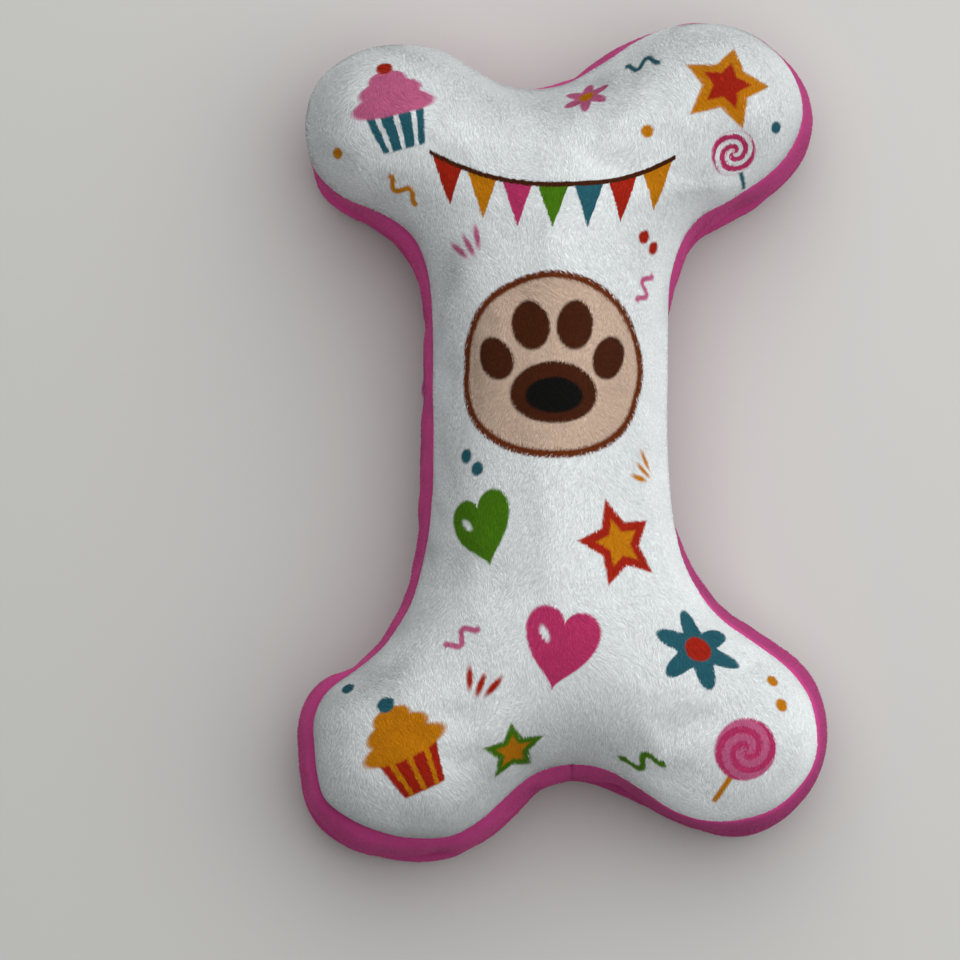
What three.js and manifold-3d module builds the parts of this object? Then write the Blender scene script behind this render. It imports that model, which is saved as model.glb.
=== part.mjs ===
import * as THREE from 'three';
import Module from 'manifold-3d';
import { mergeVertices } from 'three/addons/utils/BufferGeometryUtils.js';

const kernel = await Module();
kernel.setup();

// A stuffed bone lying on its back, in millimetres: +Z is up, the long axis is Y, the front panel faces +Z.

// Outline of the stuffed panels
const panelLength = 238;
const panelWidth = 144;
const shaftWidth = 66.4;
const shaftShift = -3.6;
const notchSoftness = 20;
const waistStretch = 44;
const upperNotch = { depth: 19.6, shift: -6.6 };
const lowerNotch = { depth: 21.2, shift: 1.2 };

// Each lobe is stuffed a little differently. The crest is its end and the flank its side, both measured in
// from the panel's length and width, and the neck is where its underside turns into the shaft.
const upperRight = {
  crestIn: 0, crestSpread: 42, flankIn: 0.4, shoulder: 26.6,
  neckFromEnd: 53, neckFlare: 19.4, neckSlope: 20.5, toLobe: 11.4, toShaft: 18.4,
};
const lowerRight = {
  crestIn: 4.8, crestSpread: 44.4, flankIn: 0, shoulder: 28.6,
  neckFromEnd: 56.6, neckFlare: 24.4, neckSlope: 33, toLobe: 13.6, toShaft: 17,
};
const lowerLeft = {
  crestIn: 0, crestSpread: 39, flankIn: 0, shoulder: 20.2,
  neckFromEnd: 49, neckFlare: 24.8, neckSlope: 31, toLobe: 16, toShaft: 19.2,
};
const upperLeft = {
  crestIn: 5.4, crestSpread: 45, flankIn: 1, shoulder: 27,
  neckFromEnd: 53.6, neckFlare: 16.6, neckSlope: 24, toLobe: 15, toShaft: 21,
};

// Stuffed heights
const backSeamHeight = 14;
const gussetWidth = 22;
const gussetBulge = 3.4;
const frontCrown = 22.4;
const frontCrownReach = 40;
const crownRounding = 2;
const middleSwell = 3;
const backFlatReach = 22;

// Cloth, thread and the room between sewn pieces
const clothThickness = 2;
const sewnGap = 0.3;
const threadRadius = 0.5;
const fillingGap = 0.5;
const seamRoom = 2;

// Hand-sewn closing on the back seam
const closingLength = 44;
const closingPitch = 5.5;
const closingReach = 2.4;

// Squeaker
const bulbDiameter = 44;
const bulbHeight = 24;
const bulbWall = 1.2;
const bulbFlat = 18;
const bulbCentreHeight = 28;
const sleeveBore = 7.2;
const sleeveWall = 0.9;
const sleeveLength = 10.5;
const flangeWidth = 2;
const flangeThickness = 1.2;
const clampHeight = 3.4;
const reedThickness = 0.25;
const reedWidth = 4;
const reedRoot = 1.3;
const reedFree = 6;
const reedAxisBelowClamp = 0.6;
const troughWidth = 2.6;
const troughDepth = 1.6;

// Fineness of the meshes
const gridAcross = 20;
const gridAlong = 24;
const edgeCrowding = 0.5;
const threadSides = 4;
const stitchSides = 6;
const bandShares = [0, 0.2, 0.5, 0.8, 1];

const frontSeamHeight = backSeamHeight + gussetWidth;
const arcHandle = 0.5523;

const shortPile = (name, hex) => {
  const material = new THREE.MeshStandardMaterial({ color: hex, roughness: 0.95, metalness: 0 });
  material.name = name;
  return material;
};
const whitePlush = shortPile('white_plush', 0xd9dcdf);
const pinkPlush = shortPile('pink_plush', 0xa2437c);
const sewingThread = shortPile('sewing_thread', 0xb65a90);
const fibreFill = shortPile('polyester_fibre', 0xf1f0ec);
const blownPlastic = new THREE.MeshStandardMaterial({ color: 0xeeeee6, roughness: 0.4 });
blownPlastic.name = 'blown_polyethylene';
const whistlePlastic = new THREE.MeshStandardMaterial({ color: 0xf6f6f2, roughness: 0.3 });
whistlePlastic.name = 'whistle_polystyrene';
const reedFilm = new THREE.MeshStandardMaterial({ color: 0xdfe6ea, roughness: 0.2 });
reedFilm.name = 'reed_film';

const toy = new THREE.Group();
toy.name = 'squeaky_bone_toy';

function addPiece(name, geometry, material) {
  const mesh = new THREE.Mesh(geometry, material);
  mesh.name = name;
  toy.add(mesh);
}

// Outline

const point = (x, y) => new THREE.Vector2(x, y);
const bend = (a, b, c, d) => new THREE.CubicBezierCurve(a, b, c, d);
const flipped = (curve, sx, sy) => {
  const flip = (p) => point(p.x * sx, p.y * sy);
  return bend(flip(curve.v0), flip(curve.v1), flip(curve.v2), flip(curve.v3));
};

function halves(curve) {
  const ab = curve.v0.clone().lerp(curve.v1, 0.5);
  const bc = curve.v1.clone().lerp(curve.v2, 0.5);
  const cd = curve.v2.clone().lerp(curve.v3, 0.5);
  const abc = ab.clone().lerp(bc, 0.5);
  const bcd = bc.clone().lerp(cd, 0.5);
  const middle = abc.clone().lerp(bcd, 0.5);
  return [bend(curve.v0, ab, abc, middle), bend(middle, bcd, cd, curve.v3)];
}

// One quarter of the outline, from the notch over the lobe to the waist, in two runs that meet on the lobe
function quarter(lobe, notchAt, sx, sy) {
  const end = panelLength / 2;
  const waist = shaftWidth / 2 + sx * shaftShift;
  const notch = point(sx * notchAt.shift, end - notchAt.depth);
  const crest = point(lobe.crestSpread, end - lobe.crestIn);
  const flank = point(panelWidth / 2 - lobe.flankIn, end - lobe.shoulder);
  const neck = point(waist + lobe.neckFlare, end - lobe.neckFromEnd);
  const slope = THREE.MathUtils.degToRad(lobe.neckSlope);
  const along = point(Math.cos(slope), Math.sin(slope));
  const [inner, outer] = halves(bend(
    crest,
    point(crest.x + arcHandle * (flank.x - crest.x), crest.y),
    point(flank.x, flank.y + arcHandle * (crest.y - flank.y)),
    flank,
  ));
  const dip = bend(
    notch,
    point(notch.x + notchSoftness, notch.y),
    point(crest.x - notchSoftness, crest.y),
    crest,
  );
  const underLobe = bend(
    flank,
    point(flank.x, flank.y - lobe.toLobe),
    neck.clone().addScaledVector(along, lobe.toLobe),
    neck,
  );
  const intoShaft = bend(
    neck,
    neck.clone().addScaledVector(along, -lobe.toShaft),
    point(waist, waistStretch),
    point(waist, 0),
  );
  const run = (...curves) => {
    const path = new THREE.CurvePath();
    curves.forEach((curve) => path.add(flipped(curve, sx, sy)));
    return path;
  };
  return {
    notch: point(sx * notch.x, sy * notch.y),
    neck: point(sx * neck.x, sy * neck.y),
    endRun: run(dip, inner),
    sideRun: run(outer, underLobe, intoShaft),
  };
}

const quarters = {
  upper_right: quarter(upperRight, upperNotch, 1, 1),
  lower_right: quarter(lowerRight, lowerNotch, 1, -1),
  lower_left: quarter(lowerLeft, lowerNotch, -1, -1),
  upper_left: quarter(upperLeft, upperNotch, -1, 1),
};

// A side of the panel: in along the first run and out along the second
const sideOf = (first, second) => (share) => (
  share < 0.5 ? first.getPoint(1 - 2 * share) : second.getPoint(2 * share - 1)
);
// and the long sides, which start and end on the lobes and meet at the waist
const longSideOf = (first, second) => (share) => (
  share < 0.5 ? first.getPoint(2 * share) : second.getPoint(2 - 2 * share)
);
const topSide = sideOf(quarters.upper_left.endRun, quarters.upper_right.endRun);
const bottomSide = sideOf(quarters.lower_left.endRun, quarters.lower_right.endRun);
const rightSide = longSideOf(quarters.lower_right.sideRun, quarters.upper_right.sideRun);
const leftSide = longSideOf(quarters.lower_left.sideRun, quarters.upper_left.sideRun);

const sideSteps = 100;
const outline = [
  ...Array.from({ length: sideSteps }, (_, i) => bottomSide(i / sideSteps)),
  ...Array.from({ length: sideSteps }, (_, i) => rightSide(i / sideSteps)),
  ...Array.from({ length: sideSteps }, (_, i) => topSide(1 - i / sideSteps)),
  ...Array.from({ length: sideSteps }, (_, i) => leftSide(1 - i / sideSteps)),
];

function distanceToOutline(p) {
  let nearest = Infinity;
  outline.forEach((a, i) => {
    const b = outline[(i + 1) % outline.length];
    const ab = b.clone().sub(a);
    const t = THREE.MathUtils.clamp(p.clone().sub(a).dot(ab) / ab.lengthSq(), 0, 1);
    nearest = Math.min(nearest, a.clone().addScaledVector(ab, t).distanceTo(p));
  });
  return nearest;
}

// Stuffed surfaces

const roundedRise = (share) => Math.sqrt(1 - (1 - Math.min(1, share)) ** 2);
// The front is stuffed full: steep at its seam, then rounding all the way to the middle
const cushionRise = (share) => (roundedRise(share) + 1 - (1 - Math.min(1, share)) ** crownRounding) / 2;

function frontHeight(p) {
  const swell = middleSwell * (1 - (2 * p.x / panelWidth) ** 2) * (1 - (2 * p.y / panelLength) ** 2);
  return frontSeamHeight + (frontCrown + swell) * cushionRise(distanceToOutline(p) / frontCrownReach);
}

function backHeight(p) {
  return backSeamHeight * (1 - roundedRise(distanceToOutline(p) / backFlatReach));
}

function bandBulge(z) {
  const share = THREE.MathUtils.clamp((z - backSeamHeight) / gussetWidth, 0, 1);
  return gussetBulge * (1 - (2 * share - 1) ** 2);
}

// A grid over the outline, its lines crowded toward the seam where the cloth turns down
function panelGrid(across, along) {
  const crowded = (share) => share - edgeCrowding * Math.sin(2 * Math.PI * share) / (2 * Math.PI);
  const us = Array.from({ length: across + 1 }, (_, i) => crowded(i / across));
  const vs = Array.from({ length: along + 1 }, (_, j) => crowded(j / along));
  const bottom = us.map(bottomSide);
  const top = us.map(topSide);
  const left = vs.map(leftSide);
  const right = vs.map(rightSide);
  const blend = (a, b, t) => a.clone().lerp(b, t);
  return vs.map((v, j) => us.map((u, i) => {
    const between = blend(bottom[i], top[i], v).add(blend(left[j], right[j], u));
    const corners = blend(blend(bottom[0], bottom[across], u), blend(top[0], top[across], u), v);
    return between.sub(corners);
  }));
}

// The grid's edge as one loop, anticlockwise seen from above
function edgeLoop(rows) {
  const last = rows.length - 1;
  const end = rows[0].length - 1;
  return [
    ...rows[0].slice(0, end),
    ...rows.slice(0, last).map((row) => row[end]),
    ...rows[last].slice(1).reverse(),
    ...rows.slice(1).map((row) => row[0]).reverse(),
  ];
}

function outwardNormals(loop) {
  return loop.map((p, i) => {
    const before = loop[(i + loop.length - 1) % loop.length];
    const after = loop[(i + 1) % loop.length];
    return point(after.y - before.y, before.x - after.x).normalize();
  });
}

// The stuffed surface over a grid, set in from the outer face by the inset, with its edge on the seam
function stuffedSurface(flat, heightAt, seamHeight, inset, edgeInset) {
  const lifted = flat.map((row) => row.map((p) => new THREE.Vector3(p.x, p.y, heightAt(p))));
  const loop = edgeLoop(flat);
  const normals = outwardNormals(loop);
  const edge = new Map(loop.map((p, i) => [p, p.clone().addScaledVector(normals[i], -edgeInset)]));
  const inward = seamHeight === frontSeamHeight ? -1 : 1;
  return flat.map((row, j) => row.map((p, i) => {
    if (edge.has(p)) {
      const rim = edge.get(p);
      return new THREE.Vector3(rim.x, rim.y, seamHeight);
    }
    const du = lifted[j][i + 1].clone().sub(lifted[j][i - 1]);
    const dv = lifted[j + 1][i].clone().sub(lifted[j - 1][i]);
    return lifted[j][i].clone().addScaledVector(du.cross(dv).normalize(), inward * inset);
  }));
}

// Faces of a grid, each square cut along the diagonal that runs to the nearest lobe
function gridFaces(rows, upward) {
  const triangles = [];
  const halfway = { j: (rows.length - 1) / 2, i: (rows[0].length - 1) / 2 };
  for (let j = 0; j < rows.length - 1; j += 1) {
    for (let i = 0; i < rows[0].length - 1; i += 1) {
      const a = rows[j][i];
      const b = rows[j][i + 1];
      const c = rows[j + 1][i + 1];
      const d = rows[j + 1][i];
      const rising = (j < halfway.j) === (i < halfway.i);
      const pair = rising ? [[a, b, c], [a, c, d]] : [[a, b, d], [b, c, d]];
      triangles.push(...pair.map((t) => (upward ? t : [...t].reverse())));
    }
  }
  return triangles;
}

// Faces between two loops of equal count
function bandFaces(from, to, closed) {
  const triangles = [];
  const count = closed ? from.length : from.length - 1;
  for (let i = 0; i < count; i += 1) {
    const next = (i + 1) % from.length;
    triangles.push([from[i], from[next], to[next]], [from[i], to[next], to[i]]);
  }
  return triangles;
}

function solidFrom(triangles) {
  const geometry = new THREE.BufferGeometry();
  const numbers = triangles.flat().flatMap((v) => [v.x, v.y, v.z]);
  geometry.setAttribute('position', new THREE.Float32BufferAttribute(numbers, 3));
  return mergeVertices(geometry, 1e-4);
}

const fineGrid = panelGrid(gridAcross, gridAlong);

function panel(heightAt, seamHeight) {
  const isFront = seamHeight === frontSeamHeight;
  const outer = stuffedSurface(fineGrid, heightAt, seamHeight, 0, 0);
  const inner = stuffedSurface(fineGrid, heightAt, seamHeight, clothThickness, clothThickness);
  const rim = isFront
    ? bandFaces(edgeLoop(inner), edgeLoop(outer), true)
    : bandFaces(edgeLoop(outer), edgeLoop(inner), true);
  return solidFrom([...gridFaces(outer, isFront), ...gridFaces(inner, !isFront), ...rim]);
}

addPiece('front_panel', panel(frontHeight, frontSeamHeight), whitePlush);
addPiece('back_panel', panel(backHeight, backSeamHeight), pinkPlush);

// Side band: two strips that meet in the notches, each bulged outward between the seams

const stations = edgeLoop(fineGrid);
const stationNormals = outwardNormals(stations);
const notchStations = { lower: gridAcross / 2, upper: gridAcross * 1.5 + gridAlong };

function stationAt(k, reach, z) {
  const i = k % stations.length;
  const p = stations[i].clone().addScaledVector(stationNormals[i], reach);
  return new THREE.Vector3(p.x, p.y, z);
}

function bandStrip(from, to) {
  const floor = backSeamHeight + sewnGap;
  const ceiling = frontSeamHeight - sewnGap;
  const heights = bandShares.map((share) => THREE.MathUtils.lerp(floor, ceiling, share));
  const sections = Array.from({ length: to - from + 1 }, (_, n) => {
    const outside = heights.map((z) => stationAt(from + n, bandBulge(z), z));
    const inside = heights.map((z) => stationAt(from + n, bandBulge(z) - clothThickness, z)).reverse();
    return [...outside, ...inside];
  });
  const ends = [[sections[0], sections[1]], [sections[sections.length - 1], sections[sections.length - 2]]];
  ends.forEach(([last, before]) => last.forEach((v, i) => {
    v.x += Math.sign(before[i].x - v.x) * sewnGap / 2;
  }));
  const cap = (ring) => heights.slice(1).flatMap((_, i) => {
    const far = ring.length - 1;
    return [[ring[i], ring[far - i], ring[i + 1]], [ring[i + 1], ring[far - i], ring[far - i - 1]]];
  });
  return solidFrom([
    ...sections.slice(1).flatMap((section, n) => bandFaces(section, sections[n], true)),
    ...cap(sections[0]).map((t) => [...t].reverse()),
    ...cap(sections[sections.length - 1]),
  ]);
}

addPiece('gusset_left', bandStrip(notchStations.upper, notchStations.lower + stations.length), pinkPlush);
addPiece('gusset_right', bandStrip(notchStations.lower, notchStations.upper), pinkPlush);

// Seams

const threadInset = clothThickness + sewnGap + threadRadius;

function threadCircle(radius) {
  const circle = new THREE.Shape();
  circle.absarc(0, 0, radius, 0, 2 * Math.PI);
  return circle;
}

function threadAlong(curve, steps) {
  const tube = new THREE.ExtrudeGeometry(threadCircle(threadRadius), {
    extrudePath: curve,
    steps,
    curveSegments: stitchSides / 2,
    bevelEnabled: false,
  });
  tube.deleteAttribute('normal');
  tube.deleteAttribute('uv');
  return mergeVertices(tube, 1e-3);
}

// A seam round the whole outline, laid in the inner corner of the two cloths
function seamLoop(height) {
  const rings = stations.map((_, k) => Array.from({ length: threadSides }, (__, n) => {
    const turn = 2 * Math.PI * n / threadSides;
    const reach = threadRadius * Math.cos(turn) - threadInset;
    return stationAt(k, reach, height + threadRadius * Math.sin(turn));
  }));
  return solidFrom(rings.flatMap((ring, k) => bandFaces(rings[(k + 1) % rings.length], ring, true)));
}

function joinSeam(station) {
  const clear = threadRadius + sewnGap;
  const lowest = backSeamHeight + clear;
  const highest = frontSeamHeight - clear;
  const path = bandShares.map((share) => {
    const z = THREE.MathUtils.lerp(lowest, highest, share);
    return stationAt(station, bandBulge(z) - threadInset, z);
  });
  return threadAlong(new THREE.CatmullRomCurve3(path), 8);
}

addPiece('front_seam_thread', seamLoop(frontSeamHeight), sewingThread);
addPiece('back_seam_thread', seamLoop(backSeamHeight), sewingThread);
addPiece('gusset_join_upper', joinSeam(notchStations.upper), sewingThread);
addPiece('gusset_join_lower', joinSeam(notchStations.lower), sewingThread);

// Ladder stitch across the back seam beside the shaft, proud of both cloths
function closingThread() {
  const turns = Math.round(closingLength / closingPitch);
  const proud = threadRadius + sewnGap;
  const waistAt = (y) => {
    const nearest = outline.filter((p) => p.x < 0 && Math.abs(p.y) < closingLength);
    return nearest.reduce((best, p) => (Math.abs(p.y - y) < Math.abs(best.y - y) ? p : best)).x;
  };
  const path = Array.from({ length: turns + 1 }, (_, k) => {
    const y = closingLength * (k / turns - 0.5);
    const z = backSeamHeight + (k % 2 ? closingReach : -closingReach);
    const reach = proud + Math.max(0, bandBulge(z));
    return new THREE.Vector3(waistAt(y) - reach, y, z);
  });
  return threadAlong(new THREE.CatmullRomCurve3(path, false, 'catmullrom', 0.2), turns * 4);
}

addPiece('closing_stitch', closingThread(), sewingThread);

// Squeaker: a blown bulb with a whistle pushed in through its underside

const bulbFloor = bulbCentreHeight - bulbHeight / 2;
const bulbTop = bulbFloor + bulbHeight;
const sleeveRadius = sleeveBore / 2 + sleeveWall;
const mouthRadius = sleeveRadius + sewnGap;
const flangeRadius = mouthRadius + flangeWidth;
const flangeFloor = bulbFloor - sewnGap - flangeThickness;

function turned(profile, segments) {
  const lathe = new THREE.LatheGeometry(profile.map(([r, z]) => point(r, z)), segments);
  lathe.rotateX(Math.PI / 2);
  lathe.translate(shaftShift, 0, 0);
  lathe.deleteAttribute('normal');
  lathe.deleteAttribute('uv');
  return mergeVertices(lathe, 1e-3);
}

// Side of the bulb from its top rim to its bottom rim, set in by a wall
function bulbSide(inset) {
  const flat = bulbFlat / 2;
  const reach = bulbDiameter / 2 - inset - flat;
  const rise = bulbHeight / 2 - inset;
  return Array.from({ length: 8 }, (_, k) => {
    const turn = Math.PI * (0.5 - k / 7);
    return [flat + reach * Math.cos(turn), bulbCentreHeight + rise * Math.sin(turn)];
  });
}

addPiece('squeaker_bulb', turned([
  [0, bulbTop],
  ...bulbSide(0),
  [mouthRadius, bulbFloor],
  [mouthRadius, bulbFloor + bulbWall],
  ...bulbSide(bulbWall).reverse(),
  [0, bulbTop - bulbWall],
].reverse(), 24), blownPlastic);

const sleeveTop = flangeFloor + sleeveLength;
addPiece('whistle_sleeve', turned([
  [sleeveBore / 2, flangeFloor],
  [flangeRadius, flangeFloor],
  [flangeRadius, flangeFloor + flangeThickness],
  [sleeveRadius, flangeFloor + flangeThickness],
  [sleeveRadius, sleeveTop],
  [sleeveBore / 2, sleeveTop],
  [sleeveBore / 2, flangeFloor],
], 24), whistlePlastic);

// Solids for cutting

function toSolid(geometry) {
  const bare = geometry.clone();
  bare.deleteAttribute('normal');
  bare.deleteAttribute('uv');
  const merged = mergeVertices(bare, 1e-4);
  const mesh = new kernel.Mesh({
    numProp: 3,
    vertProperties: new Float32Array(merged.attributes.position.array),
    triVerts: new Uint32Array(merged.index.array),
  });
  return new kernel.Manifold(mesh);
}

function toGeometry(solid) {
  const mesh = solid.getMesh();
  const geometry = new THREE.BufferGeometry();
  geometry.setAttribute('position', new THREE.Float32BufferAttribute(mesh.vertProperties, 3));
  geometry.setIndex(Array.from(mesh.triVerts));
  return geometry;
}

function block(x0, x1, y0, y1, z0, z1) {
  const box = new THREE.BoxGeometry(x1 - x0, y1 - y0, z1 - z0);
  box.translate((x0 + x1) / 2, (y0 + y1) / 2, (z0 + z1) / 2);
  return toSolid(box);
}

function rod(radius, z0, z1) {
  const cylinder = new THREE.CylinderGeometry(radius, radius, z1 - z0, 24);
  cylinder.rotateX(Math.PI / 2);
  cylinder.translate(0, 0, (z0 + z1) / 2);
  return toSolid(cylinder);
}

const onShaft = (solid) => solid.translate([shaftShift, 0, 0]);

// Whistle core and clamp: a split plug in the sleeve with the reed held between its flat faces
const plugRadius = sleeveBore / 2 - sewnGap;
const jaw = reedThickness / 2 + sewnGap;
const clampTop = flangeFloor + clampHeight;
const troughSide = troughWidth / 2;
const trough = block(-troughSide, troughSide, -jaw - troughDepth, plugRadius, clampTop, sleeveTop + 1);
const coreHalf = block(-plugRadius, plugRadius, -plugRadius, -jaw, flangeFloor - 1, sleeveTop + 1);
const clampHalf = block(-plugRadius, plugRadius, jaw, plugRadius, flangeFloor - 1, clampTop);
const plug = rod(plugRadius, flangeFloor, sleeveTop);
addPiece('whistle_core', toGeometry(onShaft(plug.intersect(coreHalf).subtract(trough))), whistlePlastic);
addPiece('reed_clamp', toGeometry(onShaft(plug.intersect(clampHalf))), whistlePlastic);

const reedAxisHeight = clampTop - reedAxisBelowClamp;
const reed = new THREE.BoxGeometry(reedWidth, reedThickness, reedRoot + reedFree);
reed.translate(shaftShift, 0, reedAxisHeight + (reedFree - reedRoot) / 2);
addPiece('reed', reed, reedFilm);

// Stuffing: one core that fills the cover, parted at the lobes and round the squeaker

function stuffingCore() {
  const inset = clothThickness + fillingGap;
  const edgeInset = clothThickness + seamRoom;
  const front = stuffedSurface(fineGrid, frontHeight, frontSeamHeight, inset, edgeInset);
  const back = stuffedSurface(fineGrid, backHeight, backSeamHeight, inset, edgeInset);
  const hoops = bandShares.slice(1, -1).map((share) => {
    const z = THREE.MathUtils.lerp(backSeamHeight, frontSeamHeight, share);
    return stations.map((_, k) => stationAt(k, bandBulge(z) - inset, z));
  });
  const rings = [edgeLoop(back), ...hoops, edgeLoop(front)];
  const sides = rings.slice(1).flatMap((ring, k) => bandFaces(rings[k], ring, true));
  const whole = toSolid(solidFrom([...gridFaces(front, true), ...gridFaces(back, false), ...sides]));
  const groove = threadRadius + sewnGap;
  const grooves = [quarters.upper_right.notch, quarters.lower_right.notch].map((notch) => {
    const cut = block(-groove, groove, -edgeInset, edgeInset, backSeamHeight, frontSeamHeight);
    return cut.translate([notch.x, notch.y, 0]);
  });
  return grooves.reduce((rest, cut) => rest.subtract(cut), whole);
}

// Everything beyond the line from a quarter's neck to its notch, moved outward by the shift
function beyondNeck({ neck, notch }, shift) {
  const far = panelLength;
  const sx = Math.sign(neck.x);
  const sy = Math.sign(neck.y);
  const along = point(sx * (neck.x - notch.x), sy * (neck.y - notch.y));
  const cutter = block(-far, far, shift, far, -far, far)
    .rotate([0, 0, THREE.MathUtils.radToDeg(Math.atan2(along.y, along.x))]);
  const ownHalf = block(sewnGap / 2, far, -far, far, -far, far);
  return cutter.intersect(ownHalf).scale([sx, sy, 1]).translate([notch.x, notch.y, 0]);
}

const core = stuffingCore();
Object.entries(quarters).forEach(([place, part]) => {
  addPiece(`filling_${place}`, toGeometry(core.intersect(beyondNeck(part, sewnGap))), fibreFill);
});

const pocket = toSolid(turned([
  [0, bulbTop + sewnGap],
  ...bulbSide(-sewnGap),
  [0, bulbFloor - sewnGap],
].reverse(), 24)).add(onShaft(rod(flangeRadius + sewnGap, flangeFloor - sewnGap, bulbCentreHeight)));
const shaft = Object.values(quarters)
  .reduce((rest, part) => rest.subtract(beyondNeck(part, 0)), core)
  .subtract(pocket);
const wide = panelLength;
const above = block(-wide, wide, -wide, wide, bulbCentreHeight + sewnGap / 2, wide);
const below = block(-wide, wide, -wide, wide, -wide, bulbCentreHeight - sewnGap / 2);
addPiece('filling_shaft_front', toGeometry(shaft.intersect(above)), fibreFill);
addPiece('filling_shaft_back', toGeometry(shaft.intersect(below)), fibreFill);

export default toy;
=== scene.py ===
import math

import bmesh
import bpy
import numpy as np
from mathutils import Matrix, Vector, noise
from mathutils.bvhtree import BVHTree


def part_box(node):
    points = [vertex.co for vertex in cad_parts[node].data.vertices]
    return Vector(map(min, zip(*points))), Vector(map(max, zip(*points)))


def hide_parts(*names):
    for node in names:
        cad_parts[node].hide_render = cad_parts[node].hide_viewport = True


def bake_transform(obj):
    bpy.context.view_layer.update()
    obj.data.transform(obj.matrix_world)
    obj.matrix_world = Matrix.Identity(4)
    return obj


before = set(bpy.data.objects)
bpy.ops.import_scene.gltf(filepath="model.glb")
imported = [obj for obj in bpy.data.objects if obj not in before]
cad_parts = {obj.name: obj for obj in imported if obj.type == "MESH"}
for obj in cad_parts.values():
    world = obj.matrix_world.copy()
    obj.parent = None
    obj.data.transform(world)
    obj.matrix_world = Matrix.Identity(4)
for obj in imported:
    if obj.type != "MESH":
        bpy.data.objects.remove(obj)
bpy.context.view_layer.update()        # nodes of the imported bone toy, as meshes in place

mm = 0.001
touching = 1e-6        # points closer than this are one
sameHeight = 1e-5
tiny = 1e-9
print("frame loaded:", len(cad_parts), "nodes")


# Small helpers

def linear(hexColour):
    channels = [int(hexColour[i:i + 2], 16) / 255 for i in (1, 3, 5)]
    return (*[c / 12.92 if c < 0.04045 else ((c + 0.055) / 1.055) ** 2.4 for c in channels], 1.0)


def wire(node, links):        # each input takes a link or a constant
    for key, value in links.items():
        source = value.outputs[0] if isinstance(value, bpy.types.Node) else value
        if isinstance(source, bpy.types.NodeSocket):
            node.id_data.links.new(source, node.inputs[key])
        else:
            node.inputs[key].default_value = source
    return node


def add(tree, kind, links=None, **settings):
    node = tree.nodes.new(kind)
    for name, value in settings.items():
        setattr(node, name, value)
    return wire(node, links or {})


def onto(kind, links, **settings):        # a node in the tree that its links come from
    sources = (bpy.types.Node, bpy.types.NodeSocket)
    tree = next(value.id_data for value in links.values() if isinstance(value, sources))
    return add(tree, kind, links, **settings)


def calc(operation, *values):
    return onto("ShaderNodeMath", dict(enumerate(values)), operation=operation)


def vector(operation, *values):
    keys = (0, "Scale") if operation == "SCALE" else range(len(values))
    node = onto("ShaderNodeVectorMath", dict(zip(keys, values)), operation=operation)
    return node.outputs["Value" if operation in ("LENGTH", "DOT_PRODUCT") else "Vector"]


def split(p):
    return onto("ShaderNodeSeparateXYZ", {0: p}).outputs


def joined(*values):
    return onto("ShaderNodeCombineXYZ", dict(enumerate(values)))


def mixed(share, first, second):        # a colour between two others
    return onto("ShaderNodeMix", {0: share, 6: first, 7: second}, data_type="RGBA").outputs[2]


def newTree(name, inputs, outputs, treeKind="GeometryNodeTree"):
    tree = bpy.data.node_groups.new(name, treeKind)
    for socketName, kind, default in inputs:
        socket = tree.interface.new_socket(socketName, in_out="INPUT", socket_type="NodeSocket" + kind)
        if default is not None:
            socket.default_value = default
    for socketName, kind in outputs:
        tree.interface.new_socket(socketName, in_out="OUTPUT", socket_type="NodeSocket" + kind)
    return tree, add(tree, "NodeGroupInput").outputs, add(tree, "NodeGroupOutput")


def newMaterial(name):
    material = bpy.data.materials.new(name)
    material.use_nodes = True
    tree = material.node_tree
    return material, tree, tree.nodes["Principled BSDF"]


def meshObject(name, mesh):
    piece = bpy.data.objects.new(name, mesh)
    bpy.context.scene.collection.objects.link(piece)
    return piece


def settled(source, name):        # the evaluated mesh of an object, as a new plain object
    graph = bpy.context.evaluated_depsgraph_get()
    mesh = bpy.data.meshes.new_from_object(
        source.evaluated_get(graph), preserve_all_data_layers=True, depsgraph=graph)
    mesh.name = name
    return meshObject(name, mesh)


def grown(source, tree, name, **values):        # what a node tree makes of an object, as a new object
    modifier = source.modifiers.new("grow", "NODES")
    modifier.node_group = tree
    names = {s.name: s.identifier for s in tree.interface.items_tree if s.in_out == "INPUT"}
    for key, value in values.items():
        modifier[names[key]] = value
    piece = settled(source, name)
    source.modifiers.remove(modifier)
    return piece


def discard(piece):
    mesh = piece.data
    bpy.data.objects.remove(piece)
    bpy.data.meshes.remove(mesh)


def coat(mesh, material):
    mesh.materials.clear()
    mesh.materials.append(material)


def coordinates(mesh):
    flat = np.zeros(len(mesh.vertices) * 3)
    mesh.vertices.foreach_get("co", flat)
    return flat.reshape(-1, 3)


# Camera and light

view = dict(
    aim=(-0.0234, -0.0138, 0.030), distance=1.398, tilt=9.14, azimuth=0.43, roll=1.26, lens=181.65, sensor=36,
    clipStart=0.05)
light = dict(
    keyFrom=(0.36, 0.28, 0.89), keyDistance=0.8, keySize=2.2, keyWatts=20.2, skyColour="#F0F1F3",
    skyStrength=0.05, wallStrength=0.15, wallHeight=0.3, backdrop=0.56)
paper = dict(colour="#C3C3C0", size=6.0, roughness=0.9, gloss=0.1, fadeFrom=0.3, fadeTo=1.2)


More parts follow.
